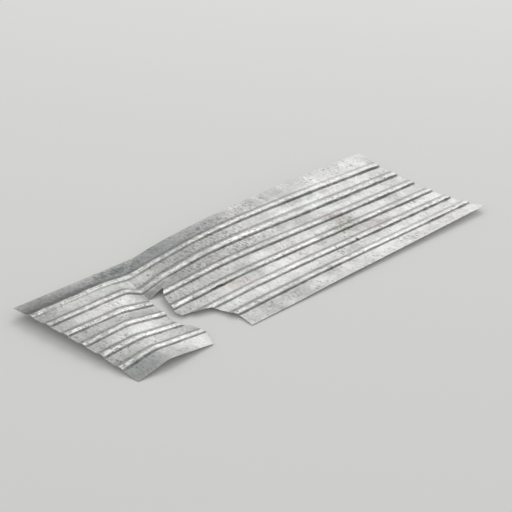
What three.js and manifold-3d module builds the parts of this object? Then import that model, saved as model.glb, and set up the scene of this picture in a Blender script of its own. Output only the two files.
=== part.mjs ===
// A ribbed sheet of galvanised steel, 8 ft by 35 in, buckled and torn near one end, lying loose on the ground.
//
// Frame, in millimetres: +X along the ribs towards the sound end, +Y towards the back edge, +Z up. The floor is
// Z = 0, and the origin is on it, under the middle of the sheet.
//
// The sheet is drawn first as flat stock: "along" runs from the buckled end to the sound end, and "across" from the
// back edge to the front edge. Formers then give the height of the stock above the floor, as a row of wooden formers
// would under a hull: each lies across the sheet, and the sheet runs from one to the next and bends over it. The
// formers and the tear are surveyed in squares of a grid that is laid over the sheet.

import * as THREE from "three";
import { mergeVertices } from "three/addons/utils/BufferGeometryUtils.js";
import Module from "manifold-3d";

const wasm = await Module();
wasm.setup();

// Stock
const GAUGE = 0.7; // 24 gauge, with its zinc
const SHEET_LENGTH = 2438; // 8 ft, measured on the flat
const BEND_TAKE_UP = 4; // what the bends take off the length in plan
const PLAN_LENGTH = SHEET_LENGTH - BEND_TAKE_UP;

// Ribs, rolled along the whole length, with an equal pan beside each. A rib's back flank is gentle and its front flank
// is steep; its feet and shoulders are measured from its line, to the back and to the front.
const RIB_COUNT = 6;
const RIB_PITCH = 127; // 5 in
const RIB_HEIGHT = 7.5;
const BACK_FOOT = 31;
const BACK_SHOULDER = 11;
const FRONT_SHOULDER = 17;
const FRONT_FOOT = 25;
const CREST_CROWN = 0.4; // how far a crest stands above its shoulders, on the rib's line
const SHEET_WIDTH = (RIB_COUNT + 1) * RIB_PITCH;

// How wide each rib lies after the buckling, as a share of its rolled width, from the back rib to the front rib. Each
// row is read at seven even steps from the buckled end to the sound end.
const RIB_SPREAD = [
  [1.3, 1.2, 1.1, 1.05, 1, 1, 1],
  [1, 1, 1.25, 1.2, 1.35, 1.2, 1.15],
  [1, 1.1, 1, 1, 1, 1, 1],
  [1.05, 1.1, 1, 1, 1, 1, 1],
  [1.15, 1.05, 1.05, 1.05, 1.05, 1.05, 1.05],
  [1.15, 1, 1.05, 1, 0.95, 1, 1.05],
];

// Survey grid
const SQUARE = 10; // side of its squares
const SQUARES_ALONG = PLAN_LENGTH / SQUARE;

// Formers, in squares. "along" is where the former lies: one distance, or eight when it is skewed, and "bend" is how
// far to each side of it the sheet is bent. Both "along" and "height" are read at eight even steps from the back edge
// to the front edge, which at the nominal width are the back edge, the six ribs and the front edge.
const FORMERS = [
  { name: "buckled end", along: 0, bend: 0, height: [4.4, 4.6, 4.7, 4.4, 3.9, 3.2, 1.7, 0] },
  {
    name: "ridge crease",
    along: [45, 45, 48.7, 35.2, 27, 21.5, 19, 18.5],
    bend: 3.5,
    height: [3.6, 4.2, 4.3, 3.7, 4.8, 4.2, 4.1, 4.1],
  },
  {
    name: "valley crease",
    along: [76.2, 61, 57.4, 54.5, 50.8, 49.5, 53, 50],
    bend: 1.5,
    height: [3.1, 2.4, 0.1, -0.2, 0.5, 0.2, 0.5, 0.1],
  },
  {
    name: "rise behind the tear",
    along: [86, 78, 71, 60, 54, 54, 60, 65],
    bend: 1.5,
    height: [4.5, 4.3, 3.2, 2.8, 1.9, 1.2, 1, 0.3],
  },
  { name: "shoulder", along: 100, bend: 9, height: [6.3, 6.7, 6, 4.7, 3.2, 2.5, 1.8, 0.6] },
  { name: "crown", along: 130, bend: 14, height: [7.9, 7.7, 6, 4.1, 2.7, 2.2, 2, 1.5] },
  { name: "slope", along: SQUARES_ALONG - 58.4, bend: 20, height: [8.5, 6.3, 3.9, 2, 1.3, 1, 1.3, 2.2] },
  { name: "sound end", along: SQUARES_ALONG, bend: 0, height: [6.3, 3.2, 1.8, 0.7, 0, 0.1, 0.8, 3.1] },
];

// The torn edge, as [along, across] in squares, from the front edge round the notch and back to the front edge
const TEAR = [
  [46.4, 88.9],
  [51.3, 79],
  [51.9, 76.2],
  [50.9, 74.7],
  [52, 71.2],
  [50.3, 66.4],
  [47.1, 65.1],
  [47.4, 63.4],
  [48.4, 60.1],
  [49.7, 53.9],
  [50.1, 50.8],
  [51.3, 47.2],
  [53, 40.9],
  [52.7, 38.5],
  [55.1, 34.8],
  [64.8, 34.8],
  [61.1, 38.5],
  [59.7, 40.4],
  [57.3, 46.1],
  [56, 49.3],
  [55.1, 51.5],
  [53.5, 54.7],
  [54, 59.7],
  [59.2, 60.6],
  [59.6, 62.1],
  [65.7, 63.9],
  [68.6, 65.4],
  [69.4, 66.5],
  [70.9, 72.8],
  [70.9, 75],
  [72.9, 78.8],
  [72.8, 80.5],
  [71.6, 88.9],
];
const TEAR_OVERSHOOT = 30; // how far the cut runs out past the front edge

// How finely the stock is divided
const CELL_LENGTH = 75; // longest facet between the bends
const PAN_CELL = 36; // widest facet on a pan

/** Reads a row of even steps at a fraction from 0 to 1 of its length, on a smooth curve through them. */
function readRow(row, fraction) {
  const last = row.length - 1;
  const place = THREE.MathUtils.clamp(fraction, 0, 1) * last;
  const step = Math.min(Math.floor(place), last - 1);
  const before = step > 0 ? row[step - 1] : 2 * row[0] - row[1];
  const after = step + 2 <= last ? row[step + 2] : 2 * row[last] - row[last - 1];
  const [from, to] = [row[step], row[step + 1]];
  const t = place - step;
  const curve = 2 * before - 5 * from + 4 * to - after;
  const twist = 3 * (from - to) + after - before;
  return from + 0.5 * t * (to - before + t * (curve + t * twist));
}

/** Gives the place, the bend and the height of every former, in millimetres, at one distance across the sheet. */
function formersAt(across) {
  const fraction = across / SHEET_WIDTH;
  return FORMERS.map(({ along, bend, height }) => ({
    along: SQUARE * (Array.isArray(along) ? readRow(along, fraction) : along),
    bend: SQUARE * bend,
    height: SQUARE * readRow(height, fraction),
  }));
}

/** Gives the height of the pans: straight from former to former, with a parabola over each bend. */
function panHeight(along, across) {
  const formers = formersAt(across);
  const slope = (n) => (formers[n + 1].height - formers[n].height) / (formers[n + 1].along - formers[n].along);
  let height = formers[0].height + slope(0) * (along - formers[0].along);
  for (let n = 1; n < formers.length - 1; n++) {
    const turn = slope(n) - slope(n - 1);
    const past = along - formers[n].along;
    const { bend } = formers[n];
    if (Math.abs(past) < bend) {
      height += (turn * (past + bend) ** 2) / (4 * bend);
    } else {
      height += turn * Math.max(past, 0);
    }
  }
  return height;
}

/** Gives the nearest rib's number, how far off its line a point lies, and the rib's shoulder and foot on that side. */
function nearestRib(across) {
  const rib = THREE.MathUtils.clamp(Math.round(across / RIB_PITCH), 1, RIB_COUNT);
  const off = across - rib * RIB_PITCH;
  const [shoulder, foot] = off < 0 ? [BACK_SHOULDER, BACK_FOOT] : [FRONT_SHOULDER, FRONT_FOOT];
  return { rib, off, shoulder, foot };
}

/** Gives how far the rolled profile stands above the pans. */
function ribHeight(across) {
  const { off, shoulder, foot } = nearestRib(across);
  const away = Math.abs(off);
  if (away >= foot) return 0;
  if (away <= shoulder) return RIB_HEIGHT - CREST_CROWN * (away / shoulder) ** 2;
  return ((RIB_HEIGHT - CREST_CROWN) * (foot - away)) / (foot - shoulder);
}

/** Gives how far a point has moved across with a spread rib: all of it at the foot, and none in the pan's middle. */
function ribShift(along, across) {
  const { rib, off, foot } = nearestRib(across);
  const spread = readRow(RIB_SPREAD[rib - 1], along / PLAN_LENGTH) - 1;
  const half = RIB_PITCH / 2;
  const share = THREE.MathUtils.clamp((half - Math.abs(off)) / (half - foot), 0, 1);
  return spread * share * THREE.MathUtils.clamp(off, -foot, foot);
}

/** Carries a point of the flat stock to its place on the formed sheet, on its upper face. */
function formedPoint(along, across) {
  return new THREE.Vector3(
    along - PLAN_LENGTH / 2,
    SHEET_WIDTH / 2 - across - ribShift(along, across),
    panHeight(along, across) + ribHeight(across),
  );
}

/** Gives the upward normal of the formed sheet. */
function formedNormal(along, across) {
  const reach = 1;
  const alongStep = formedPoint(along + reach, across).sub(formedPoint(along - reach, across));
  const backStep = formedPoint(along, across - reach).sub(formedPoint(along, across + reach));
  return alongStep.cross(backStep).normalize();
}

/** Divides the way from one number to another into equal cells, and leaves out the last number. */
function divide(from, to, cell) {
  const count = Math.max(1, Math.round((to - from) / cell));
  return Array.from({ length: count }, (_, n) => from + ((to - from) * n) / count);
}

/** Lists the lines of the stock across the sheet: the pans' cells, and each rib's feet, shoulders and crown. */
function acrossLines() {
  const lines = [];
  let pan = 0;
  for (let rib = 1; rib <= RIB_COUNT; rib++) {
    const middle = rib * RIB_PITCH;
    lines.push(...divide(pan, middle - BACK_FOOT, PAN_CELL));
    lines.push(middle - BACK_FOOT, middle - BACK_SHOULDER, middle, middle + FRONT_SHOULDER);
    pan = middle + FRONT_FOOT;
  }
  lines.push(...divide(pan, SHEET_WIDTH, PAN_CELL), SHEET_WIDTH);
  return lines;
}

/** Lists the lines of the stock along the sheet, each as a function of the distance across, since formers are skewed. */
function alongLines() {
  const nominal = formersAt(SHEET_WIDTH / 2);
  const lines = [];
  for (let n = 0; n < FORMERS.length - 1; n++) {
    const near = nominal[n].bend;
    const far = nominal[n + 1].bend;
    const clear = nominal[n + 1].along - far - nominal[n].along - near;
    const count = Math.max(1, Math.round(clear / CELL_LENGTH));
    lines.push((formers) => formers[n].along);
    for (let cell = near > 0 ? 0 : 1; cell <= (far > 0 ? count : count - 1); cell++) {
      lines.push((formers) => {
        const start = formers[n].along + near;
        const end = formers[n + 1].along - far;
        return start + ((end - start) * cell) / count;
      });
    }
  }
  lines.push((formers) => formers[FORMERS.length - 1].along);
  return lines;
}

/** Moves a plain BufferGeometry with merged corners into a manifold-3d solid. */
function toSolid(geometry) {
  const plain = geometry.clone();
  plain.deleteAttribute("normal");
  plain.deleteAttribute("uv");
  const merged = mergeVertices(plain);
  return new wasm.Manifold(
    new wasm.Mesh({
      numProp: 3,
      vertProperties: new Float32Array(merged.attributes.position.array),
      triVerts: new Uint32Array(merged.index.array),
    }),
  );
}

/** Moves a manifold-3d solid back into a BufferGeometry. */
function toGeometry(solid) {
  const mesh = solid.getMesh();
  const geometry = new THREE.BufferGeometry();
  geometry.setAttribute("position", new THREE.BufferAttribute(mesh.vertProperties, 3));
  geometry.setIndex(new THREE.BufferAttribute(mesh.triVerts, 1));
  return geometry;
}

/** Forms the whole sheet: a box with a cell between each pair of lines, whose corners move to the formed faces. */
function formedSheet() {
  const across = acrossLines();
  const along = alongLines();
  const columns = along.length - 1;
  const rows = across.length - 1;
  const stock = new THREE.BoxGeometry(columns, rows, 1, columns, rows, 1);
  const corners = stock.attributes.position;
  for (let n = 0; n < corners.count; n++) {
    const v = across[Math.round(rows / 2 - corners.getY(n))];
    const u = along[Math.round(corners.getX(n) + columns / 2)](formersAt(v));
    const place = formedPoint(u, v);
    if (corners.getZ(n) < 0) place.addScaledVector(formedNormal(u, v), -GAUGE);
    corners.setXYZ(n, place.x, place.y, place.z);
  }
  return stock;
}

/** Makes the upright prism that cuts the torn piece out of the sheet. */
function tornPiece(bottom, top) {
  const edge = TEAR.map(
    ([along, across]) => new THREE.Vector2(SQUARE * along - PLAN_LENGTH / 2, SHEET_WIDTH / 2 - SQUARE * across),
  );
  const first = edge[0];
  const last = edge[edge.length - 1];
  const outside = Math.min(-SHEET_WIDTH / 2, first.y, last.y) - TEAR_OVERSHOOT;
  const outline = [new THREE.Vector2(first.x, outside), ...edge, new THREE.Vector2(last.x, outside)];
  const prism = new THREE.ExtrudeGeometry(new THREE.Shape(outline), { depth: top - bottom, bevelEnabled: false });
  return prism.translate(0, 0, bottom);
}

/** Builds the torn sheet and sets it down on the floor. */
function corrugatedSheet() {
  const stock = formedSheet();
  stock.computeBoundingBox();
  const { min, max } = stock.boundingBox;
  const torn = toSolid(stock).subtract(toSolid(tornPiece(min.z - GAUGE, max.z + GAUGE)));
  const geometry = toGeometry(torn);
  geometry.computeBoundingBox();
  geometry.translate(0, 0, -geometry.boundingBox.min.z);
  geometry.computeVertexNormals();
  const galvanised = new THREE.MeshStandardMaterial({ color: 0xb4b5b1, metalness: 0.85, roughness: 0.45 });
  const sheet = new THREE.Mesh(geometry, galvanised);
  sheet.name = "corrugated_sheet";
  return sheet;
}

const part = new THREE.Group();
part.add(corrugatedSheet());

export default part;
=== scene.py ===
"""A ribbed sheet of galvanised steel, buckled and torn near one end, lying loose on a plain floor.

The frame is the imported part's: +X along the ribs towards the sound end, +Y towards the back edge, +Z up, the
floor at Z = 0, and the origin on it under the middle of the sheet. Sizes are named in millimetres, and MM
turns them to metres. "along" runs from the buckled end to the sound end, and "across" from the back edge to
the front edge.
"""

import logging
import math
from dataclasses import dataclass, field
from enum import Enum
from typing import NamedTuple, Sequence, Union

import bmesh
import bpy
from bmesh.types import BMesh
from bpy.types import Material, Node, NodeSocket, NodeTree, Object
from mathutils import Matrix, Vector, noise


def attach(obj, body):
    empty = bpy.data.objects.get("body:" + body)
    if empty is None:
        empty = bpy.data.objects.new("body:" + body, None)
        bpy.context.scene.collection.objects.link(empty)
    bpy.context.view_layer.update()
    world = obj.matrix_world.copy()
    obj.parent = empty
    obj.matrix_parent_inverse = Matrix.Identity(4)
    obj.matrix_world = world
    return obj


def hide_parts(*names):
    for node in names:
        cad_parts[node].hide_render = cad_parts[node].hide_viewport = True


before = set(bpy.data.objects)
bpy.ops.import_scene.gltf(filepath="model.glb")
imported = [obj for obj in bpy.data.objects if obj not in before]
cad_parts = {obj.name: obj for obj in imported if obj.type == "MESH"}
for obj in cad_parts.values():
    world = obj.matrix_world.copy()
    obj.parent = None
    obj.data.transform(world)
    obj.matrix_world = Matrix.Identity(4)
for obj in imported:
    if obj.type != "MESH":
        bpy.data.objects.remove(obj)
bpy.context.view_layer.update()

MM = 0.001
STOCK_MAP = "stock"
PLAN_LENGTH = 2434.0

log = logging.getLogger("ribbed_sheet")

Colour = tuple[float, float, float, float]
Pair = tuple[float, float]
Row = Union[float, Sequence[float]]
Source = Union[float, Sequence[float], Node, NodeSocket]


# ----------------------------------------
# Small tools
# ----------------------------------------


def linear(hex_colour: str) -> Colour:
    """Turns an sRGB hex colour to linear light.

    Args:
        hex_colour: The colour, such as "#C8C9C6".

    Returns:
        Red, green, blue and an alpha of 1.
    """

    def channel(value: float) -> float:
        """Turns one channel."""
        return value / 12.92 if value <= 0.04045 else ((value + 0.055) / 1.055) ** 2.4

    digits = hex_colour.lstrip("#")
    red, green, blue = (channel(int(digits[n : n + 2], 16) / 255) for n in (0, 2, 4))
    return (red, green, blue, 1.0)


def read_row(row: Sequence[float], fraction: float) -> float:
    """Reads a row of even steps on a smooth curve through them.

    Args:
        row: The values, one at each step.
        fraction: How far along the row to read, from 0 to 1.

    Returns:
        The value there.
    """
    last = len(row) - 1
    place = min(max(fraction, 0.0), 1.0) * last
    step = min(int(place), last - 1)
    start, end = row[step], row[step + 1]
    before = row[step - 1] if step > 0 else 2 * start - end
    after = row[step + 2] if step + 2 <= last else 2 * end - start
    t = place - step
    curve = 2 * before - 5 * start + 4 * end - after
    twist = 3 * (start - end) + after - before
    return start + 0.5 * t * (end - before + t * (curve + t * twist))


def smooth_step(low: float, high: float, value: float) -> float:
    """Rises from 0 at low to 1 at high, level at both ends."""
    t = min(max((value - low) / (high - low), 0.0), 1.0)
    return t * t * (3 - 2 * t)


def wander(seed: float, x: float, y: float = 0.0) -> float:
    """Gives smooth repeatable noise from about -1 to 1 at a place counted in its own wavelengths."""
    return noise.noise(Vector((x, y, seed)))


@dataclass(frozen=True)
class Knee:
    """A corner of a bent line.

    Attributes:
        at: Where it is, in mm.
        height: How high it is, in mm.
        reach: How far to each side of it the line is curved, in mm.
    """

    at: float
    height: float
    reach: float


def bent_line(knees: Sequence[Knee], place: float) -> float:
    """Gives the height of a line that runs straight from knee to knee, with a parabola over each.

    Args:
        knees: The knees in order. The first and the last are the line's ends.
        place: Where to read it, in mm.

    Returns:
        The height there, in mm.
    """
    slopes = [(b.height - a.height) / (b.at - a.at) for a, b in zip(knees, knees[1:])]
    height = knees[0].height + slopes[0] * (place - knees[0].at)
    for knee, near, far in zip(knees[1:-1], slopes, slopes[1:]):
        past = place - knee.at
        if abs(past) < knee.reach:
            height += (far - near) * (past + knee.reach) ** 2 / (4 * knee.reach)
        else:
            height += (far - near) * max(past, 0.0)
    return height


# ----------------------------------------
# The form of the sheet
# ----------------------------------------


@dataclass(frozen=True)
class RibProfile:
    """The rolled section of the sheet: low ribs with a pan beside each, in mm.

    The ribs are gentle behind and steep in front. Their feet and shoulders are measured from a rib's middle.
    The spread is how wide each rib lies after the buckling, as a share of its rolled width, in seven even
    steps from the buckled end to the sound end.
    """

    count: int = 6
    pitch: float = 127.0
    height: float = 7.5
    back_foot: float = 31.0
    back_shoulder: float = 11.0
    front_shoulder: float = 17.0
    front_foot: float = 25.0
    crown: float = 0.4
    foot_reach: float = 1.6
    back_reach: float = 10.0
    front_reach: float = 4.0
    waver: float = 1.6
    waver_length: float = 70.0
    waver_seed: float = 5.3
    spread: Sequence[Sequence[float]] = (
        (1.3, 1.2, 1.1, 1.05, 1.0, 1.0, 1.0),
        (1.0, 1.0, 1.25, 1.2, 1.35, 1.2, 1.15),
        (1.0, 1.1, 1.0, 1.0, 1.0, 1.0, 1.0),
        (1.05, 1.1, 1.0, 1.0, 1.0, 1.0, 1.0),
        (1.15, 1.05, 1.05, 1.05, 1.05, 1.05, 1.05),
        (1.15, 1.0, 1.05, 1.0, 0.95, 1.0, 1.05),
    )

    @property
    def width(self) -> float:
        """The width of the sheet."""
        return (self.count + 1) * self.pitch

    def nearest_rib(self, across: float) -> int:
        """Counts ribs from the back edge and gives the nearest one's number."""
        return min(max(round(across / self.pitch), 1), self.count)

    def offset(self, across: float) -> float:
        """Gives how far in front of the nearest rib's middle a place is."""
        return across - self.nearest_rib(across) * self.pitch

    def into_pan(self, across: float) -> float:
        """Gives how far into a pan a place is.

        Args:
            across: Distance from the back edge, in mm.

        Returns:
            0 on a rib, rising to 1 in the pan's middle, and 1 beyond.
        """
        off = self.offset(across)
        foot = self.back_foot if off < 0 else self.front_foot
        return min(max((abs(off) - foot) / (self.pitch / 2 - foot), 0.0), 1.0)

    def rise(self, across: float) -> float:
        """Gives how far the section stands above the pans.

        Args:
            across: Distance from the back edge, in mm.

        Returns:
            The height in mm.
        """
        knees = (
            Knee(-self.pitch, 0.0, 0.0),
            Knee(-self.back_foot, 0.0, self.foot_reach),
            Knee(-self.back_shoulder, self.height - self.crown, self.back_reach),
            Knee(0.0, self.height, self.back_shoulder),
            Knee(self.front_shoulder, self.height - self.crown, self.front_reach),
            Knee(self.front_foot, 0.0, self.foot_reach),
            Knee(self.pitch, 0.0, 0.0),
        )
        return bent_line(knees, self.offset(across))

    def shift(self, fraction: float, across: float) -> float:
        """Gives how far a place has moved across with a spread rib.

        Args:
            fraction: How far along the sheet it is, from 0 to 1.
            across: Distance from the back edge, in mm.

        Returns:
            The movement in mm: all of the spread at the rib's foot, and none in the middle of the pan.
        """
        rib = self.nearest_rib(across)
        spread = read_row(self.spread[rib - 1], fraction) - 1
        off = min(max(self.offset(across), -self.back_foot), self.front_foot)
        waver = self.waver * wander(rib * self.waver_seed, fraction * PLAN_LENGTH / self.waver_length)
        return (spread * off + waver) * (1 - self.into_pan(across))


@dataclass(frozen=True)
class Former:
    """A line across the sheet that gives its height above the floor, in mm.

    Attributes:
        name: What it is.
        along: Where it lies: one distance, or eight even steps from the back edge to the front edge.
        reach: How far to each side of it the sheet is bent.
        height: The height of the pans over it, in the same eight steps.
    """

    name: str
    along: Row
    reach: float
    height: Sequence[float]

    def knee(self, fraction: float) -> Knee:
        """Gives the knee that this former makes at a share of the way across the sheet."""
        along = self.along if isinstance(self.along, (int, float)) else read_row(self.along, fraction)
        return Knee(along, read_row(self.height, fraction), self.reach)


@dataclass
class SheetForm:
    """The buckled sheet as a surface: the formers, the rolled ribs and the small dents of handling.

    The pans wave slackly. Beside the creases, which are the second to the fourth former, the sheet is also
    crumpled: fully up to the first crumple reach from a crease, and not at all past the second.
    """

    length: float = PLAN_LENGTH
    profile: RibProfile = field(default_factory=RibProfile)
    formers: Sequence[Former] = (
        Former("buckled end", 0, 0, (44, 46, 47, 44, 39, 32, 17, 0)),
        Former(
            "ridge crease", (450, 450, 487, 352, 270, 215, 190, 185), 35, (36, 42, 43, 37, 48, 42, 41, 41)
        ),
        Former("valley crease", (762, 610, 574, 545, 508, 495, 530, 500), 7, (31, 24, 1, -2, 5, 2, 5, 1)),
        Former(
            "rise behind the tear",
            (860, 780, 710, 600, 540, 540, 600, 650),
            12,
            (45, 43, 32, 28, 19, 12, 10, 3),
        ),
        Former("shoulder", 1000, 90, (63, 67, 60, 47, 32, 25, 18, 6)),
        Former("crown", 1300, 140, (79, 77, 60, 41, 27, 22, 20, 15)),
        Former("slope", 1850, 200, (85, 63, 39, 20, 13, 10, 13, 22)),
        Former("sound end", 2434, 0, (63, 32, 18, 7, 0, 1, 8, 31)),
    )
    pan_wave: float = 0.7
    pan_wave_length: float = 240.0
    pan_wave_seed: float = 3.1
    crumple: float = 1.3
    crumple_length: float = 70.0
    crumple_seed: float = 7.7
    crumple_reach: Pair = (20.0, 130.0)

    def knees(self, across: float) -> list[Knee]:
        """Gives the knees of the lengthwise line at one distance across."""
        return [former.knee(across / self.profile.width) for former in self.formers]

    def dents(self, along: float, across: float, knees: Sequence[Knee]) -> float:
        """Gives the small unevenness of the sheet: slack waves in the pans, and crumples beside the creases.

        Args:
            along: Distance from the buckled end, in mm.
            across: Distance from the back edge, in mm.
            knees: The knees at that distance across.

        Returns:
            A height to add, in mm.
        """
        slack = smooth_step(0, 1, self.profile.into_pan(across))
        wave = wander(self.pan_wave_seed, along / self.pan_wave_length, across / self.pan_wave_length)
        near = min(abs(along - knee.at) for knee in knees[1:4])
        creased = 1 - smooth_step(*self.crumple_reach, near)
        fine = wander(self.crumple_seed, along / self.crumple_length, across / self.crumple_length)
        return self.pan_wave * slack * wave + self.crumple * creased * fine

    def place(self, along: float, across: float, knees: Sequence[Knee]) -> Vector:
        """Carries a point of the flat stock to the sheet's upper face.

        Args:
            along: Distance from the buckled end, in mm.
            across: Distance from the back edge, in mm.
            knees: The knees at that distance across.

        Returns:
            The point in mm, before the sheet is set down.
        """
        height = bent_line(knees, along) + self.profile.rise(across) + self.dents(along, across, knees)
        moved = across + self.profile.shift(along / self.length, across)
        return Vector((along - self.length / 2, self.profile.width / 2 - moved, height))


@dataclass
class TornEdge:
    """The notch that is torn in from the front edge.

    Each of its sides is a row of (along, across) points from its head to the front edge, in mm. Torn metal is
    ragged, and its lip is curled up or down by up to the curl, more of it up.
    """

    flap_side: Sequence[Pair] = (
        (551, 348), (527, 385), (530, 409), (513, 472), (501, 508), (497, 539), (484, 601), (474, 634),
        (471, 651), (503, 664), (520, 712), (509, 747), (519, 762), (513, 790), (464, 889),
    )
    sound_side: Sequence[Pair] = (
        (648, 348), (611, 385), (597, 404), (573, 461), (560, 493), (551, 515), (535, 547), (540, 597),
        (592, 606), (596, 621), (657, 639), (686, 654), (694, 665), (709, 728), (709, 750), (729, 788),
        (728, 805), (716, 889),
    )
    ragged: float = 2.2
    ragged_length: float = 9.0
    ragged_seeds: Pair = (11.3, 23.9)
    curl: float = 2.0
    curl_width: float = 14.0
    curl_length: float = 34.0
    curl_lean: float = 0.35
    curl_seeds: Pair = (31.0, 37.0)

    @property
    def head(self) -> float:
        """The distance across at which the notch ends."""
        return self.flap_side[0][1]

    def flap(self, across: float) -> float:
        """Gives where the flap's side of the notch lies at one distance across."""
        return self.side(self.flap_side, across, self.ragged_seeds[0])

    def sound(self, across: float) -> float:
        """Gives where the sound part's side of the notch lies at one distance across."""
        return self.side(self.sound_side, across, self.ragged_seeds[1])

    def side(self, points: Sequence[Pair], across: float, seed: float) -> float:
        """Reads one side of the notch, with the small raggedness of torn metal.

        Args:
            points: The side's points.
            across: Distance from the back edge, in mm.
            seed: What sets this side's raggedness apart.

        Returns:
            The distance along, in mm.
        """
        if across <= points[0][1]:
            return points[0][0]
        for (near, start), (far, end) in zip(points, points[1:]):
            if across <= end:
                along = near + (far - near) * (across - start) / (end - start)
                break
        else:
            along = points[-1][0]
        return along + self.ragged * wander(seed, across / self.ragged_length)

    def lift(self, gap: float, across: float, seed: float) -> float:
        """Gives how far the lip is curled up or down, at a gap from the torn edge, in mm."""
        share = 1 - smooth_step(0, self.curl_width, gap)
        return self.curl * share * (self.curl_lean + wander(seed, across / self.curl_length))


# ----------------------------------------
# Nodes
# ----------------------------------------


def add_node(
    tree: NodeTree, kind: str, inputs: Union[dict, Sequence[Source]] = (), **settings: str
) -> Node:
    """Adds a node with its settings and links.

    Args:
        tree: The node tree.
        kind: The node's type, without "ShaderNode".
        inputs: What goes into its sockets, by their names, or as a row in the order of those in use. Each is
            a value, another node's output, or another node, which stands for its first output in use.
        settings: The node's own properties.

    Returns:
        The node.
    """
    node = tree.nodes.new("ShaderNode" + kind)
    for name, value in settings.items():
        setattr(node, name, value)
    in_use = [socket for socket in node.inputs if socket.enabled]
    for key, value in inputs.items() if isinstance(inputs, dict) else enumerate(inputs):
        socket = node.inputs[key] if isinstance(key, str) else in_use[key]
        if isinstance(value, Node):
            value = next(output for output in value.outputs if output.enabled)
        if isinstance(value, NodeSocket):
            tree.links.new(value, socket)
        else:
            socket.default_value = value
    return node


SMOOTH = {"interpolation_type": "SMOOTHSTEP"}
NOISE_MIDDLE = 0.5


class Blend(Enum):
    """How one colour goes over another, as the settings of a Mix node."""

    COVER = {"data_type": "RGBA", "blend_type": "MIX"}
    SHADE = {"data_type": "RGBA", "blend_type": "MULTIPLY"}


class Lie(Enum):
    """Which way a pattern is drawn out, as the scale of its coordinates along, across and up."""

    EVEN = (1.0, 1.0, 1.0)
    ACROSS = (1.0, 0.5, 1.0)
    ALONG = (0.4, 1.0, 1.0)


class Fade(NamedTuple):
    """A smooth change from one strength to another, in the order of a Map Range node's sockets.

    Attributes:
        start: Where it starts.
        end: Where it ends.
        before: The strength up to its start.
        after: The strength from its end on.
    """

    start: float
    end: float
    before: float = 0.0
    after: float = 1.0


@dataclass(frozen=True)
class Cloud:
    """A cloudy pattern, whose value lies about NOISE_MIDDLE.

    Attributes:
        size_mm: The size of its patches.
        detail: How many times it holds itself at half the size.
        roughness: How strong each of those is, against the one before.
    """

    size_mm: float
    detail: float = 2.0
    roughness: float = 0.6

    def draw(self, tree: NodeTree, place: Source) -> Node:
        """Adds the pattern's node, at the point's coordinates in metres."""
        inputs = {"Scale": 1 / (self.size_mm * MM), "Detail": self.detail, "Roughness": self.roughness}
        return add_node(tree, "TexNoise", {"Vector": place, **inputs})


@dataclass(frozen=True)
class Mottle:
    """A cloudy pattern turned to a strength.

    Attributes:
        cloud: The pattern.
        tones: How its value turns to the strength.
        lie: Which way it is drawn out.
    """

    cloud: Cloud
    tones: Fade
    lie: Lie = Lie.EVEN

    def draw(self, tree: NodeTree, place: NodeSocket) -> Node:
        """Adds the nodes that give the strength, at the point's coordinates in metres."""
        drawn = add_node(tree, "Mapping", {"Vector": place, "Scale": self.lie.value})
        return add_node(tree, "MapRange", (self.cloud.draw(tree, drawn), *self.tones), **SMOOTH)


@dataclass(frozen=True)
class Strip:
    """A soft-edged strip along every rib.

    Attributes:
        edges: Where it starts, is full, begins to end and has ended, in mm in front of the rib's middle.
        along: Its strength, by the distance from the sheet's middle in metres.
    """

    edges: tuple[float, float, float, float]
    along: Fade

    def draw(self, tree: NodeTree, off: Node, x: NodeSocket) -> Node:
        """Adds the strip's nodes.

        Args:
            tree: The finish's node tree.
            off: How far in front of its rib's middle the point is, in metres.
            x: The point's distance from the sheet's middle, in metres.

        Returns:
            The node that gives its strength.
        """
        start, full, ebb, end = (edge * MM for edge in self.edges)
        strength = add_node(tree, "MapRange", (x, *self.along), **SMOOTH)
        risen = add_node(tree, "MapRange", (off, start, full, 0.0, strength), **SMOOTH)
        return add_node(tree, "MapRange", (off, ebb, end, risen, 0.0), **SMOOTH)


# ----------------------------------------
# Finishes
# ----------------------------------------


@dataclass(frozen=True)
class Stain:
    """A soft-edged mark on the sheet, placed on its plan in mm.

    Attributes:
        name: What it is.
        along: Distance of its middle from the buckled end.
        across: Distance of its middle from the back edge.
        reach: How far it spreads along and across.
        colour: What it turns the zinc to.
        strength: How much of that colour shows at most.
        grain: How much it breaks up to specks, from 0 to 1.
        over_crests: Whether it also covers the crests' wear and painted highlight.
        height: Its middle's height, in metres, which is about the sheet's.
        depth: How far it spreads up and down, in metres.
        edge: The shares of its reach at which it starts to fade and is gone.
    """

    name: str
    along: float
    across: float
    reach: Pair
    colour: str
    strength: float
    grain: float = 0.5
    over_crests: bool = False
    height: float = 0.03
    depth: float = 1.0
    edge: Pair = (0.35, 1.15)

    def draw(self, tree: NodeTree, form: SheetForm, under: Node, place: Node, specks: Node) -> Node:
        """Lays the stain over a colour.

        Args:
            tree: The finish's node tree.
            form: The sheet that it is on.
            under: The colour so far.
            place: The point's coordinates, in metres.
            specks: The pattern that it breaks up to.

        Returns:
            The colour that results.
        """
        x = (self.along - form.length / 2) * MM
        y = (form.profile.width / 2 - self.across) * MM
        inputs = {
            "Vector": place,
            "Location": (x, y, self.height),
            "Scale": (self.reach[0] * MM, self.reach[1] * MM, self.depth),
        }
        centred = add_node(tree, "Mapping", inputs, vector_type="TEXTURE")
        away = add_node(tree, "VectorMath", (centred,), operation="LENGTH")
        # The specks come in last, because too many values that wait at once leave the material black
        share = add_node(tree, "MapRange", (away, *self.edge, self.strength, 0.0), **SMOOTH)
        broken = add_node(tree, "Math", (share, specks), operation="MULTIPLY")
        amount = add_node(tree, "Mix", (self.grain, share, broken))
        layers = (amount, under, linear(self.colour))
        return add_node(tree, "Mix", layers, label=self.name, **Blend.COVER.value)


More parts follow.
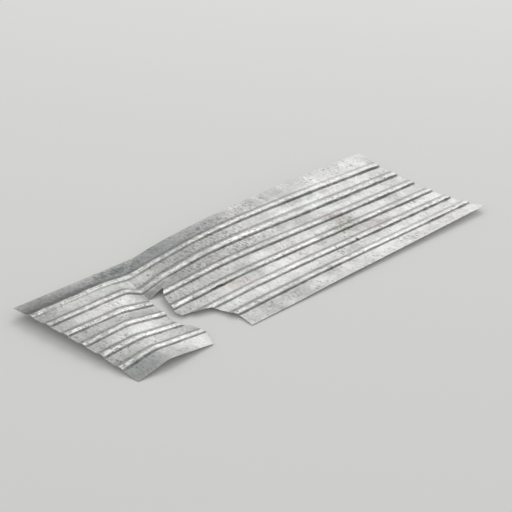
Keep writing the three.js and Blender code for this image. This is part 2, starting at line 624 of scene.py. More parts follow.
@dataclass(frozen=True)
class ZincPlaces:
    """What places the marks of the finish.

    Attributes:
        tree: The material's node tree.
        form: The sheet that it covers.
        place: The point's coordinates in the part's frame, in metres.
        x: The first of them.
        y: The second of them.
        off: How far in front of its rib's middle the point lay on the flat stock, in metres.
        has_rib: 1 within half a pitch of a rib, and 0 near the back and front edges.
    """

    tree: NodeTree
    form: SheetForm
    place: NodeSocket
    x: NodeSocket
    y: NodeSocket
    off: Node
    has_rib: Node


@dataclass(frozen=True)
class WeatheredZinc:
    """Hot-dip galvanised steel after years outdoors.

    The bare zinc has turned to a chalky grey patina over about half of its face, so it is only half metallic:
    it looks pale and dull, with a soft sheen. Its crests are worn bright in flecks, and a painted highlight
    lies along their front half. Grime and painted shade lie in a line at the foot of each rib in front, and
    more thinly behind it, painted shade darkens the back of each rib, which faces away from the lamp, and
    grime and washed patches come in broad soft stains that break up to specks. One of the stains is painted
    light, and one painted shade. The crystals, the grit and the speckle are drawn some times as large as real
    ones, so that they show.

    Fades along the sheet are by the distance from its middle in metres. Specks gather in crowds, where the
    mottling is strongest too: mottling and speckle_strength are the strength outside a crowd and what a crowd
    adds. The cast's tones are the least share of each colour that is kept, and how much more it can be.
    """

    # The zinc and what lies on it
    zinc: str = "#C5C5C3"
    wear_and_highlight: str = "#FAFAF7"
    dull: str = "#B8B8B6"
    dirt_and_shade: str = "#3C3D3B"
    # The colour of the grime and of the painted shade beside the ribs
    speck: str = "#6E7270"
    worn: str = "#000000"

    # The bare face and its stains
    metallic: float = 0.45
    sheen: Mottle = Mottle(Cloud(190.0, 5.0), Fade(0.3, 0.7, 0.55, 0.45))
    patches: Mottle = Mottle(Cloud(190.0, 5.0), Fade(0.3, 0.6))
    stain_specks: Mottle = Mottle(Cloud(11.0, 4.0), Fade(0.43, 0.64), Lie.ACROSS)
    stain_waver: Cloud = Cloud(60.0, 3.0, 0.5)
    stain_waver_reach: float = 0.05

    # The crests, worn bright and with a painted highlight along their front half, most at the buckled end
    crest: Strip = Strip((-9.0, 1.0, 14.0, 20.0), Fade(-1.0, 0.1, 1.15, 0.6))
    crest_patches: Mottle = Mottle(Cloud(260.0, 3.0), Fade(0.38, 0.6, 0.6, 1.1))
    flecks: Mottle = Mottle(Cloud(12.0, 5.0), Fade(0.36, 0.62), Lie.ALONG)
    between_flecks: Fade = Fade(0.0, 0.5, 0.13, 0.0)

    # The mottling over everything, and the specks
    crowds: Mottle = Mottle(Cloud(120.0, 3.0), Fade(0.44, 0.62))
    dabs: Mottle = Mottle(Cloud(40.0, 4.0), Fade(0.3, 0.7, 0.89, 1.08), Lie.ACROSS)
    grit: Mottle = Mottle(Cloud(7.0, 2.0), Fade(0.3, 0.7, 0.87, 1.08))
    crystal_mm: float = 9.0
    crystal_tones: Fade = Fade(0.0, 1.0, 0.87, 1.07)
    mottling: Pair = (0.65, 0.4)
    cast: Cloud = Cloud(130.0, 2.0, 0.5)
    cast_tones: Pair = (0.965, 0.07)
    speckle: Mottle = Mottle(Cloud(11.0, 1.0), Fade(0.6, 0.7), Lie.ACROSS)
    speckle_strength: Pair = (0.32, 0.48)
    spots: Mottle = Mottle(Cloud(24.0, 4.0), Fade(0.68, 0.74, 0.0, 0.6), Lie.ACROSS)

    # Grime and painted shade beside the ribs: the lines at their feet are partly grime and partly painted
    # shade, and the flank is painted shade up the back of each rib. The front line's edges are measured from
    # front_line_mm, and pinched
    front_line_mm: float = 25.0
    front_line: Strip = Strip((-6.5, -2.0, 2.0, 6.5), Fade(-0.9, 0.8, 0.58, 0.7))
    front_pinch: Mottle = Mottle(Cloud(80.0, 3.0), Fade(0.36, 0.62, 1.35, 0.72))
    front_pinch_along: Fade = Fade(0.0, 1.1, 1.0, 0.62)
    first_rib_along: Fade = Fade(-1.1, 0.4, 0.15, 1.0)
    rear_line: Strip = Strip((-26.5, -23.0, -22.0, -18.5), Fade(-0.9, 0.9, 0.75, 0.3))
    # Painted shade up the back of each rib, which faces away from the lamp, strongest at the buckled end
    flank: Strip = Strip((-25.0, -19.0, -9.0, 1.0), Fade(-0.9, 0.9, 0.36, 0.1))
    dirt_and_shade_patches: Mottle = Mottle(Cloud(55.0, 3.0), Fade(0.3, 0.65, 0.55, 1.0))
    clean_end_mm: float = 25.0
    clean_end: float = 0.45
    dirt_and_shade_roughness: float = 0.3

    # The small unevenness of the face
    relief: Sequence[tuple[Cloud, float]] = ((Cloud(12.0), 0.4), (Cloud(90.0), 0.6))
    relief_mm: float = 0.8
    relief_strength: float = 0.25

    # The stains, from the lowest to the one on top
    stains: Sequence[Stain] = (
        # Lighter over the buckled end
        Stain("lighter buckled end", 180, 520, (330, 420), "#DADAD7", 0.85, 0.0),
        Stain("clean second pan", 320, 178, (290, 50), "#E6E6E3", 0.8, 0.0),
        Stain("clean third pan", 290, 306, (300, 50), "#E6E5E2", 0.8, 0.0),
        Stain("clean fifth pan on the flap", 150, 565, (90, 44), "#EAEAE7", 0.8, 0.0),
        Stain("lighter front of the flap", 400, 815, (110, 90), "#E6E6E3", 0.8, 0.1),
        Stain("clean back corner", 2130, 110, (300, 130), "#DEDEDB", 0.7, 0.1),
        Stain("clean fifth pan", 2140, 565, (160, 44), "#E4E4E1", 0.8, 0.1),
        # Painted light: lightens the front pans towards the sound end, which their slope leaves darker under
        # the lamp
        Stain("lighter front", 2020, 800, (640, 190), "#E0E0DD", 0.9, 0.1),
        Stain("lighter front beside the notch", 1040, 640, (460, 130), "#E4E4E1", 0.85, 0.15),
        Stain("clean streak on the second pan", 1900, 208, (520, 26), "#E4E4E1", 0.7, 0.1),
        Stain("clean streak on the fourth pan", 2060, 445, (190, 44), "#DEDEDB", 0.6, 0.1),
        Stain("clean middle of the fourth pan", 1210, 445, (120, 44), "#E8E8E5", 0.7, 0.1),
        Stain("clean sound end", 2400, 660, (90, 300), "#E6E6E3", 0.6, 0.1),
        Stain("dull buckled end", 20, 440, (150, 560), "#868988", 0.42, 0.4),
        Stain("clean streak on the third pan", 2000, 331, (170, 24), "#E2E2DF", 0.6, 0.0),
        Stain("clean foot of the fourth rib", 1690, 455, (110, 26), "#E6E6E3", 0.8, 0.0),
        Stain("clean foot of the fifth rib", 2240, 580, (110, 30), "#E6E6E3", 0.8, 0.0),
        Stain("clean edge of the notch", 770, 705, (90, 50), "#E6E6E3", 0.7, 0.1),
        Stain("wash on the fourth pan", 400, 455, (110, 34), "#8A8C8A", 0.4, 0.3),
        Stain("wash beside the notch", 1050, 565, (90, 60), "#868884", 0.45, 0.5),
        Stain("dark mark on the fifth crest", 1707, 652, (12, 9), "#4A4C4A", 1.0, 0.0, over_crests=True),
        Stain("wash on the back pan", 230, 78, (560, 60), "#767979", 0.72, 0.35),
        Stain("wash behind the back crest", 260, 95, (500, 32), "#666968", 0.8, 0.25, over_crests=True),
        Stain("wash behind the valley", 900, 60, (430, 84), "#7E8386", 0.55, 0.4),
        Stain("grime under the back lap", 575, 40, (180, 42), "#3F4546", 0.8, 0.85),
        Stain("grime past the valley", 1060, 190, (340, 60), "#6C6E6C", 0.62, 0.75),
        Stain("grime on the ramp", 1010, 322, (400, 62), "#686966", 0.66, 0.75),
        Stain("clean ramp over the notch", 680, 262, (110, 46), "#E2E2DF", 0.7, 0.0),
        Stain("wash at the back crease", 655, 36, (100, 70), "#757C80", 0.45, 0.2),
        Stain("specks past the notch", 640, 470, (120, 70), "#595C5A", 0.45, 1.0),
        # Painted shade in the valley crease, beside the head of the notch
        Stain("painted shade in the valley over the notch", 555, 312, (70, 44), "#80847F", 0.6, 0.3),
        Stain("cool corner", 80, 835, (200, 74), "#878F93", 0.5, 0.3),
        Stain("specks on the flap", 300, 465, (70, 40), "#4F4D4A", 0.4, 1.0),
        Stain("green film", 1780, 500, (140, 90), "#797D6C", 0.85, 0.6, over_crests=True),
        Stain("brown film", 1800, 392, (90, 30), "#877568", 0.7, 0.5, over_crests=True),
        Stain("shade behind the back crest", 1060, 103, (480, 26), "#8C8F8E", 0.5, 0.3, over_crests=True),
        Stain("grime past the notch", 780, 400, (110, 100), "#8A8C89", 0.45, 0.5),
        Stain("pink shade", 1900, 590, (250, 80), "#B6A7A5", 0.32, 0.6),
        Stain("grey shade", 1640, 705, (130, 50), "#8A8C86", 0.5, 0.7),
        Stain("specks beside the notch", 1040, 835, (150, 36), "#666964", 0.45, 0.9),
        Stain("specks by the front", 1890, 835, (90, 40), "#5E615C", 0.55, 1.0),
        Stain("pink shade by the notch", 900, 575, (150, 50), "#CFC3C0", 0.4, 0.2),
        Stain("dark gap before the fourth rib", 845, 529, (80, 8), "#3A3532", 0.75, 0.0, over_crests=True),
        Stain("cool shade at the back", 1800, 50, (180, 50), "#BCC1C1", 0.25, 0.4),
        Stain("lighter front corner", 2370, 850, (130, 60), "#F2F2EF", 0.85, 0.0),
        Stain("clean second pan past the valley", 660, 188, (100, 42), "#E4E4E1", 0.75, 0.1),
        Stain("wash before the valley", 572, 190, (34, 40), "#ABADAB", 0.4, 0.0),
        Stain("grime at the back before the valley", 600, 52, (68, 30), "#505251", 0.85, 0.5),
        Stain("lighter front past the notch", 1240, 838, (190, 36), "#DDDDDA", 0.4, 0.2),
        Stain("wash past the valley at the back", 860, 75, (140, 60), "#A2A6A7", 0.42, 0.3),
        Stain("wash at the back corner", 115, 50, (120, 55), "#7E8181", 0.45, 0.2),
        Stain("clean back pan", 295, 42, (70, 34), "#BDBEBD", 0.35, 0.2),
        Stain("specks on the fourth pan", 1830, 446, (75, 30), "#545755", 0.5, 1.0),
        Stain("specks on the fifth pan", 1980, 580, (60, 28), "#545755", 0.42, 1.0),
        Stain("specks at the back", 1280, 62, (260, 60), "#666867", 0.5, 1.0),
        Stain("specks on the second pan", 1150, 190, (260, 60), "#5E605B", 0.38, 1.0),
        Stain("specks on the third pan", 1260, 318, (260, 60), "#5C5D58", 0.42, 1.0),
    )

    def build(self, form: SheetForm) -> Material:
        """Makes the material.

        Args:
            form: The sheet that it covers, which places the stains and the marks beside the ribs.

        Returns:
            The material.
        """
        material = bpy.data.materials.new("galvanised_steel")
        material.use_nodes = True
        tree = material.node_tree
        tree.nodes.clear()
        at = self.places(tree, form)
        patches = self.patches.draw(tree, at.place)
        colour = add_node(tree, "Mix", (patches, linear(self.dull), linear(self.zinc)), **Blend.COVER.value)
        colour = self.stained(at, colour, over_crests=False)
        # Wear and a painted highlight on the crests
        colour = self.worn_and_highlit(at, colour)
        colour = self.stained(at, colour, over_crests=True)
        crowd = self.crowds.draw(tree, at.place)
        colour = self.mottled(at, colour, crowd)
        colour = self.specked(at, colour, crowd)
        # Grime and painted shade beside the ribs
        dirt_and_shade = self.dirt_and_shade_lines(at)
        colour = add_node(tree, "Mix", (dirt_and_shade, colour, linear(self.dirt_and_shade)), **Blend.COVER.value)
        matt = (dirt_and_shade, self.dirt_and_shade_roughness, self.sheen.draw(tree, at.place))
        inputs = {
            "Base Color": colour,
            "Metallic": self.metallic,
            "Roughness": add_node(tree, "Math", matt, operation="MULTIPLY_ADD"),
            "Normal": self.uneven(at),
        }
        shader = add_node(tree, "BsdfPrincipled", inputs)
        add_node(tree, "OutputMaterial", (shader,))
        return material

    def places(self, tree: NodeTree, form: SheetForm) -> ZincPlaces:
        """Adds the nodes that tell where a point is, on the sheet and beside its rib.

        Args:
            tree: The material's node tree.
            form: The sheet that it covers.

        Returns:
            What they give.
        """
        place = add_node(tree, "TexCoord").outputs["Object"]
        split = add_node(tree, "SeparateXYZ", (place,)).outputs
        half_pitch, middle = form.profile.pitch / 2 * MM, form.profile.width / 2 * MM
        stock = add_node(tree, "UVMap", uv_map=STOCK_MAP)
        across = add_node(tree, "SeparateXYZ", (stock,)).outputs["Y"]
        off = add_node(tree, "Math", (across, half_pitch, -half_pitch), operation="WRAP")
        has_rib = add_node(tree, "Math", (across, middle, middle - half_pitch), operation="COMPARE")
        return ZincPlaces(tree, form, place, split["X"], split["Y"], off, has_rib)

    def stained(self, at: ZincPlaces, colour: Node, over_crests: bool) -> Node:
        """Lays the stains over a colour, with wavering edges.

        Args:
            at: What places them.
            colour: The colour so far.
            over_crests: Whether to lay those that cover the rubbed crests, or the others.

        Returns:
            The colour that results.
        """
        waver = self.stain_waver.draw(at.tree, at.place).outputs["Color"]
        waver = add_node(at.tree, "VectorMath", (waver, (NOISE_MIDDLE,) * 3), operation="SUBTRACT")
        moved = (waver, (self.stain_waver_reach,) * 3, at.place)
        place = add_node(at.tree, "VectorMath", moved, operation="MULTIPLY_ADD")
        specks = self.stain_specks.draw(at.tree, at.place)
        for stain in self.stains:
            if stain.over_crests == over_crests:
                colour = stain.draw(at.tree, at.form, colour, place, specks)
        return colour

    def worn_and_highlit(self, at: ZincPlaces, colour: Node) -> Node:
        """Brightens the crests in flecks, as wear and as a painted highlight on their front half, most of all
        at the buckled end, and a little darker between them.

        Args:
            at: What places them.
            colour: The colour so far.

        Returns:
            The colour that results.
        """
        tree = at.tree
        wear_and_highlight = self.crest.draw(tree, at.off, at.x)
        for share in (at.has_rib, self.crest_patches.draw(tree, at.place)):
            wear_and_highlight = add_node(tree, "Math", (wear_and_highlight, share), operation="MULTIPLY")
        flecks = self.flecks.draw(tree, at.place)
        bright = add_node(tree, "Math", (wear_and_highlight, flecks), operation="MULTIPLY")
        colour = add_node(tree, "Mix", (bright, colour, linear(self.wear_and_highlight)), **Blend.COVER.value)
        gaps = add_node(tree, "MapRange", (flecks, *self.between_flecks), **SMOOTH)
        gaps = add_node(tree, "Math", (wear_and_highlight, gaps), operation="MULTIPLY")
        return add_node(tree, "Mix", (gaps, colour, linear(self.worn)), **Blend.COVER.value)

    def mottled(self, at: ZincPlaces, colour: Node, crowd: Node) -> Node:
        """Gives the zinc its dabs, its crystals, its grit and a faint cast of colour.

        Args:
            at: What places them.
            colour: The colour so far.
            crowd: Where the mottling is strongest.

        Returns:
            The colour that results.
        """
        tree = at.tree
        drawn = add_node(tree, "Mapping", {"Vector": at.place, "Scale": Lie.ACROSS.value})
        cells = {"Vector": drawn, "Scale": 1 / (self.crystal_mm * MM)}
        crystals = add_node(tree, "TexVoronoi", cells, voronoi_dimensions="2D").outputs["Color"]
        crystals = add_node(tree, "SeparateColor", (crystals,))
        crystals = add_node(tree, "MapRange", (crystals, *self.crystal_tones), **SMOOTH)
        toned = colour
        for tone in (self.dabs.draw(tree, at.place), crystals, self.grit.draw(tree, at.place)):
            toned = add_node(tree, "Mix", (1.0, toned, tone), **Blend.SHADE.value)
        outside, added = self.mottling
        amount = add_node(tree, "Math", (crowd, added, outside), operation="MULTIPLY_ADD")
        colour = add_node(tree, "Mix", (amount, colour, toned), **Blend.COVER.value)
        least, spread = self.cast_tones
        cast = (self.cast.draw(tree, at.place).outputs["Color"], (spread,) * 3, (least,) * 3)
        cast = add_node(tree, "VectorMath", cast, operation="MULTIPLY_ADD")
        return add_node(tree, "Mix", (1.0, colour, cast), **Blend.SHADE.value)

    def specked(self, at: ZincPlaces, colour: Node, crowd: Node) -> Node:
        """Lays specks of grime over a colour: a speckle that gathers in crowds, and some larger spots.

        Args:
            at: What places them.
            colour: The colour so far.
            crowd: Where the speckle gathers.

        Returns:
            The colour that results.
        """
        outside, added = self.speckle_strength
        strength = add_node(at.tree, "Math", (crowd, added, outside), operation="MULTIPLY_ADD")
        speckle = (self.speckle.draw(at.tree, at.place), strength)
        speckle = add_node(at.tree, "Math", speckle, operation="MULTIPLY")
        marks = (speckle, self.spots.draw(at.tree, at.place))
        marks = add_node(at.tree, "Math", marks, operation="MAXIMUM")
        return add_node(at.tree, "Mix", (marks, colour, linear(self.speck)), **Blend.COVER.value)

    def dirt_and_shade_lines(self, at: ZincPlaces) -> Node:
        """Gathers grime and painted shade in a line in front of each rib and in a thinner one behind it, and
        paints shade lightly up its back, which faces away from the lamp.

        Args:
            at: What places it.

        Returns:
            The node that gives how much of the grime and painted shade shows.
        """
        tree, profile = at.tree, at.form.profile
        thin_along = add_node(tree, "MapRange", (at.x, *self.front_pinch_along), **SMOOTH)
        thin = (self.front_pinch.draw(tree, at.place), thin_along)
        thin = add_node(tree, "Math", thin, operation="MULTIPLY")
        past = add_node(tree, "Math", (at.off, self.front_line_mm * MM), operation="SUBTRACT")
        past = add_node(tree, "Math", (past, thin), operation="MULTIPLY")
        front = self.front_line.draw(tree, past, at.x)

        # The first rib's front line is faint at the buckled end, and the others' aren't
        between_ribs = 1.5 * profile.pitch
        divide = (profile.width / 2 - between_ribs) * MM
        others = add_node(tree, "Math", (at.y, divide), operation="LESS_THAN")
        start, end, faint, full = self.first_rib_along
        least = add_node(tree, "Math", (others, faint), operation="MAXIMUM")
        held = add_node(tree, "MapRange", (at.x, start, end, least, full), **SMOOTH)
        dirt_and_shade = add_node(tree, "Math", (front, held), operation="MULTIPLY")
        for strip in (self.rear_line, self.flank):
            strength = strip.draw(tree, at.off, at.x)
            dirt_and_shade = add_node(tree, "Math", (dirt_and_shade, strength), operation="MAXIMUM")

        half_length = at.form.length / 2
        away = add_node(tree, "Math", (at.x,), operation="ABSOLUTE")
        ends = ((half_length - self.clean_end_mm) * MM, half_length * MM, 1.0, self.clean_end)
        ends = add_node(tree, "MapRange", (away, *ends), **SMOOTH)
        for share in (self.dirt_and_shade_patches.draw(tree, at.place), at.has_rib, ends):
            dirt_and_shade = add_node(tree, "Math", (dirt_and_shade, share), operation="MULTIPLY")
        return dirt_and_shade

    def uneven(self, at: ZincPlaces) -> Node:
        """Gives the face its small unevenness.

        Args:
            at: What places it.

        Returns:
            The node that gives the bumped normal.
        """
        height = 0.0
        for cloud, share in self.relief:
            waves = cloud.draw(at.tree, at.place)
            height = add_node(at.tree, "Math", (waves, share, height), operation="MULTIPLY_ADD")
        bump = {"Strength": self.relief_strength, "Distance": self.relief_mm * MM, "Height": height}
        return add_node(at.tree, "Bump", bump)


@dataclass(frozen=True)
class FloorPaint:
    """Matt pale floor paint, which gives a plain ground and keeps the sheet's shadow.

    Attributes:
        colour: Its colour near the sheet.
        far_colour: Its colour far from the sheet, under the lamp, darker so that it looks as pale there.
        near: How far from the middle the first colour reaches, in metres.
        far: Where the second colour is reached, in metres.
        roughness: How matt it is.
        lift: A little light of its own, seen straight or in a reflection, which makes it a little paler and
            lights nothing.
    """

    colour: str = "#EAEAE8"
    far_colour: str = "#CCCCCA"
    near: float = 4.5
    far: float = 10.0
    roughness: float = 0.9
    lift: float = 0.06

    def build(self) -> Material:
        """Makes the material.

        Returns:
            The material.
        """
        material = bpy.data.materials.new("floor_paint")
        material.use_nodes = True
        tree = material.node_tree
        tree.nodes.clear()
        ray = add_node(tree, "LightPath").outputs
        seen = ray["Is Camera Ray"]
        for kind in ("Is Glossy Ray", "Is Transmission Ray"):
            seen = add_node(tree, "Math", (seen, ray[kind]), operation="MAXIMUM")
        place = add_node(tree, "TexCoord").outputs["Object"]
        away = add_node(tree, "VectorMath", (place,), operation="LENGTH")
        farness = add_node(tree, "MapRange", (away, self.near, self.far))
        paint = (farness, linear(self.colour), linear(self.far_colour))
        inputs = {
            "Base Color": add_node(tree, "Mix", paint, **Blend.COVER.value),
            "Roughness": self.roughness,
            "Specular IOR Level": 0.0,
            "Emission Color": linear(self.colour),
            "Emission Strength": add_node(tree, "Math", (seen, self.lift), operation="MULTIPLY"),
        }
        shader = add_node(tree, "BsdfPrincipled", inputs)
        add_node(tree, "OutputMaterial", (shader,))
        return material


# ----------------------------------------
# Pieces
# ----------------------------------------


@dataclass
class RibbedSheet:
    """The sheet itself, one piece of steel.

    It starts as a flat grid, whose lines lie closer on the ribs, at the creases and beside the notch, and two
    of whose lines follow the notch's sides. The grid is carried to the formed surface, the cells inside the
    notch are taken out, and the face gets the sheet's thickness.

    Attributes:
        form: The buckled surface.
        tear: The notch.
        finish: What it is coated with.
        gauge: The thickness of the steel, in mm.
        along_cells: How many cells there are from stop to stop.
        along_stops: The distances along at which the cells' length changes. The second and the third are
            those of the lines that are drawn to the sides of the notch.
        lead_in: How far behind the head of the notch those two lines start to be drawn, in mm.
        drag: How far from them the other lines are drawn along, before and past the notch, in mm.
        rib_cell: The width of a cell on the back and the crest of a rib, in mm.
        flank_cell: Its width on the front flank.
        pan_cell: Its width in a pan.
        sharp_angle: The least angle at which an edge stays sharp, in degrees.
    """

    form: SheetForm = field(default_factory=SheetForm)
    tear: TornEdge = field(default_factory=TornEdge)
    finish: WeatheredZinc = field(default_factory=WeatheredZinc)
    gauge: float = 0.7
    along_cells: tuple[int, ...] = (66, 17, 34, 112)
    along_stops: tuple[float, ...] = (0.0, 505.0, 640.0, 900.0, 2434.0)
    lead_in: float = 170.0
    drag: Pair = (170.0, 330.0)
    rib_cell: float = 4.5
    flank_cell: float = 2.3
    pan_cell: float = 6.5
    sharp_angle: float = 45.0

    @property
    def notch_lines(self) -> tuple[int, int]:
        """The numbers of the two lines of the grid that follow the sides of the notch."""
        return self.along_cells[0], self.along_cells[0] + self.along_cells[1]

    def across_lines(self) -> list[float]:
        """Lists where the grid's lines lie across: closer on the ribs, and one at the head of the notch.

        Returns:
            Their distances from the back edge, in mm.
        """
        profile = self.form.profile
        spans = []
        start = 0.0
        for rib in range(1, profile.count + 1):
            line = rib * profile.pitch
            behind = line - profile.back_foot - profile.foot_reach
            brow = line + profile.front_shoulder - profile.front_reach
            front = line + profile.front_foot + profile.foot_reach
            spans.append((start, behind, self.pan_cell))
            spans.append((behind, brow, self.rib_cell))
            spans.append((brow, front, self.flank_cell))
            start = front
        spans.append((start, profile.width, self.pan_cell))
        lines = []
        for start, end, cell in spans:
            count = max(1, round((end - start) / cell))
            lines += [start + (end - start) * k / count for k in range(count)]
        lines.append(profile.width)
        nearest = min(range(len(lines)), key=lambda n: abs(lines[n] - self.tear.head))
        lines[nearest] = self.tear.head
        return lines

    def along_lines(self) -> list[float]:
        """Lists where the grid's lines lie along, before they are drawn towards the notch.

        Returns:
            Their distances from the buckled end, in mm.
        """
        lines = []
        for count, start, end in zip(self.along_cells, self.along_stops, self.along_stops[1:]):
            lines += [start + (end - start) * n / count for n in range(count)]
        return lines + [self.form.length]

    def drawn(self, along: float, across: float) -> float:
        """Draws a line of the grid towards the notch, so that its sides have a line each.

        Args:
            along: The line's own distance along, in mm.
            across: Distance from the back edge, in mm.

        Returns:
            The distance along at which it crosses there, in mm.
        """
        flap_line, sound_line = self.along_stops[1:3]
        hold = smooth_step(self.tear.head - self.lead_in, self.tear.head, across)
        flap = flap_line + hold * (self.tear.flap(across) - flap_line)
        sound = sound_line + hold * (self.tear.sound(across) - sound_line)
        if along <= flap_line:
            return along + (flap - flap_line) * smooth_step(self.drag[0], 0, flap_line - along)
        if along >= sound_line:
            return along + (sound - sound_line) * smooth_step(self.drag[1], 0, along - sound_line)
        return flap + (sound - flap) * (along - flap_line) / (sound_line - flap_line)

    def curl(self, column: int, along: float, across: float) -> float:
        """Gives how far the torn lip is curled at a point beside the notch.

        Args:
            column: The number of the grid's line that it is on.
            along: Its distance from the buckled end, in mm.
            across: Its distance from the back edge, in mm.

        Returns:
            A height to add, in mm.
        """
        flap_line, sound_line = self.notch_lines
        if across < self.tear.head or flap_line < column < sound_line:
            return 0.0
        if column <= flap_line:
            return self.tear.lift(self.tear.flap(across) - along, across, self.tear.curl_seeds[0])
        return self.tear.lift(along - self.tear.sound(across), across, self.tear.curl_seeds[1])

    def form_stock(self, stock: BMesh, along: Sequence[float], across: Sequence[float]) -> None:
        """Carries the flat grid to the formed surface, and keeps each point's place on the stock as its UV.

        Args:
            stock: The grid, 1 wide and centred.
            along: Where its lines lie along, in mm.
            across: Where its lines lie across, in mm.
        """
        columns, rows = len(along) - 1, len(across) - 1
        knees = [self.form.knees(v) for v in across]
        stock_place: dict[int, Pair] = {}
        for vert in stock.verts:
            column = round((vert.co.x + 0.5) * columns)
            row = round((0.5 - vert.co.y) * rows)
            v = across[row]
            u = self.drawn(along[column], v)
            point = self.form.place(u, v, knees[row])
            point.z += self.curl(column, u, v)
            vert.co = point * MM
            vert.index = row * (columns + 1) + column
            stock_place[vert.index] = (u * MM, v * MM)
        chart = stock.loops.layers.uv.new(STOCK_MAP)
        for face in stock.faces:
            for loop in face.loops:
                loop[chart].uv = stock_place[loop.vert.index]

    def cut_notch(self, stock: BMesh, along: Sequence[float], across: Sequence[float]) -> None:
        """Takes out the cells inside the notch.

        Args:
            stock: The formed grid.
            along: Where its lines lie along, in mm.
            across: Where its lines lie across, in mm.
        """
        flap_line, sound_line = self.notch_lines
        width = len(along)
        inside = [
            face
            for face in stock.faces
            if all(flap_line <= vert.index % width <= sound_line for vert in face.verts)
            and all(across[vert.index // width] >= self.tear.head for vert in face.verts)
        ]
        bmesh.ops.delete(stock, geom=inside, context="FACES")

    def build(self) -> Object:
        """Makes the sheet's object.

        Returns:
            The object, with its mesh in the part's frame in metres.
        """
        across = self.across_lines()
        along = self.along_lines()
        stock = bmesh.new()
        bmesh.ops.create_grid(stock, x_segments=len(along) - 1, y_segments=len(across) - 1, size=0.5)
        self.form_stock(stock, along, across)
        self.cut_notch(stock, along, across)
        bmesh.ops.recalc_face_normals(stock, faces=stock.faces)
        if sum(face.normal.z for face in stock.faces) < 0:
            bmesh.ops.reverse_faces(stock, faces=stock.faces)
        bmesh.ops.solidify(stock, geom=stock.faces[:], thickness=self.gauge * MM)
        lowest = min(vert.co.z for vert in stock.verts)
        bmesh.ops.translate(stock, verts=stock.verts, vec=(0, 0, -lowest))
        mesh = bpy.data.meshes.new("ribbed_sheet")
        stock.to_mesh(mesh)
        stock.free()
        mesh.shade_smooth()
        mesh.set_sharp_from_angle(angle=math.radians(self.sharp_angle))
        mesh.materials.append(self.finish.build(self.form))
        sheet = bpy.data.objects.new("ribbed_sheet", mesh)
        bpy.context.scene.collection.objects.link(sheet)
        return sheet


@dataclass
class StudioFloor:
    """A plain level floor, far wider than the sheet. Its half width is in metres."""

    half_width: float = 30.0
    finish: FloorPaint = field(default_factory=FloorPaint)

    def build(self) -> Object:
        """Makes the floor's object.

        Returns:
            The object.
        """
        surface = bmesh.new()
        bmesh.ops.create_grid(surface, x_segments=1, y_segments=1, size=self.half_width)
        mesh = bpy.data.meshes.new("studio_floor")
        surface.to_mesh(mesh)
        surface.free()
        mesh.materials.append(self.finish.build())
        floor = bpy.data.objects.new("studio_floor", mesh)
        bpy.context.scene.collection.objects.link(floor)
        return floor


@dataclass(frozen=True)
class SoftBox:
    """A square lamp that faces the middle of the sheet.

    Attributes:
        name: What it is.
        azimuth: Where it stands, in degrees from +X towards +Y.
        elevation: How high it stands, in degrees above the floor.
        distance: How far off it is, in metres.
        side: How wide it is, in metres.
        watts: Its power.
    """

    name: str
    azimuth: float
    elevation: float
    distance: float
    side: float
    watts: float

    def build(self) -> Object:
        """Makes the lamp's object.

        Returns:
            The object.
        """
        lamp = bpy.data.lights.new(self.name, "AREA")
        lamp.shape = "SQUARE"
        lamp.size = self.side
        lamp.energy = self.watts
        stand = bpy.data.objects.new(self.name, lamp)
        turn, rise = math.radians(self.azimuth), math.radians(self.elevation)
        away = Vector((math.cos(rise) * math.cos(turn), math.cos(rise) * math.sin(turn), math.sin(rise)))
        stand.location = away * self.distance
        stand.rotation_euler = away.to_track_quat("Z", "Y").to_euler()
        bpy.context.scene.collection.objects.link(stand)
        return stand


@dataclass
class Studio:
    """Plain soft light: one large lamp to the right of the view, and an even pale surround."""

    key: SoftBox = SoftBox("key_light", azimuth=31, elevation=37, distance=18.0, side=9.0, watts=860)
    surround: str = "#E8E8E8"
    surround_strength: float = 0.7

    def build(self) -> None:
        """Makes the lamp and the surround."""
        self.key.build()
        world = bpy.data.worlds.new("studio_surround")
        world.use_nodes = True
        tree = world.node_tree
        tree.nodes.clear()
        sky = {"Color": linear(self.surround), "Strength": self.surround_strength}
        add_node(tree, "OutputWorld", (add_node(tree, "Background", sky),))
        bpy.context.scene.world = world


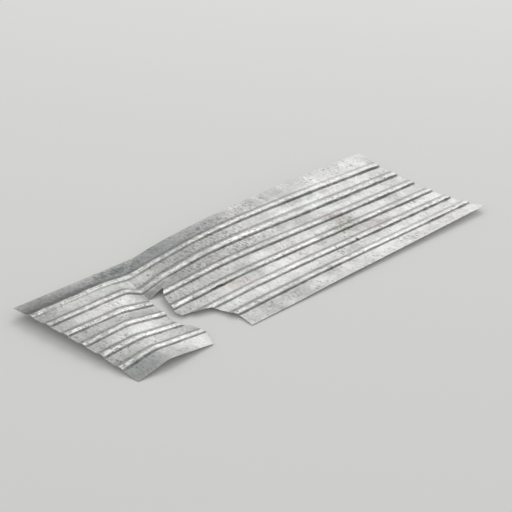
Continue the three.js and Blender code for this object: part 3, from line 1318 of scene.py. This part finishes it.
@dataclass
class Viewpoint:
    """The camera, which looks down on the sheet from its buckled front corner.

    Attributes:
        heading: The way it looks, in degrees from +Y towards +X.
        tilt: How far it looks down, in degrees.
        roll: How far it is rolled about its own line of sight, in degrees.
        distance: How far it stands from what it looks at, in mm.
        target: The point that it looks at, in mm.
        lens: Its focal length, in mm.
        sensor: The width of its sensor, in mm.
        far_clip: How far it sees, in metres.
    """

    heading: float = 44.407
    tilt: float = 26.699
    roll: float = 1.124
    distance: float = 9572.8
    target: tuple[float, float, float] = (-16.7, 17.2, 29.1)
    lens: float = 134.78
    sensor: float = 36.0
    far_clip: float = 200.0

    def build(self) -> Object:
        """Makes the camera and sets it as the scene's.

        Returns:
            Its object.
        """
        turn, drop = math.radians(self.heading), math.radians(self.tilt)
        look = Vector((math.sin(turn) * math.cos(drop), math.cos(turn) * math.cos(drop), -math.sin(drop)))
        camera = bpy.data.cameras.new("camera")
        camera.lens = self.lens
        camera.sensor_width = self.sensor
        camera.sensor_fit = "HORIZONTAL"
        camera.clip_end = self.far_clip
        stand = bpy.data.objects.new("camera", camera)
        stand.matrix_world = (
            Matrix.Translation((Vector(self.target) - look * self.distance) * MM)
            @ Matrix.Rotation(math.radians(self.roll), 4, look)
            @ look.to_track_quat("-Z", "Y").to_matrix().to_4x4()
        )
        bpy.context.scene.collection.objects.link(stand)
        bpy.context.scene.camera = stand
        return stand


# ----------------------------------------
# The scene
# ----------------------------------------


def main() -> None:
    """Builds the scene, piece by piece."""
    logging.basicConfig(level=logging.INFO, format="%(message)s")
    bpy.context.scene.view_settings.view_transform = "Standard"

    viewpoint = Viewpoint()
    viewpoint.build()
    log.info("camera: %.0f mm lens, %.1f m off", viewpoint.lens, viewpoint.distance * MM)
    studio = Studio()
    studio.build()
    log.info("light: %s, %d W, and an even surround", studio.key.name, studio.key.watts)
    floor = StudioFloor().build()
    log.info("floor: %.0f m wide", floor.dimensions.x)

    sheet = RibbedSheet()
    piece = sheet.build()
    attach(piece, "root")
    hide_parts("corrugated_sheet")
    log.info("ribbed sheet: %d faces, %d stains", len(piece.data.polygons), len(sheet.finish.stains))


if __name__ == "__main__":
    main()
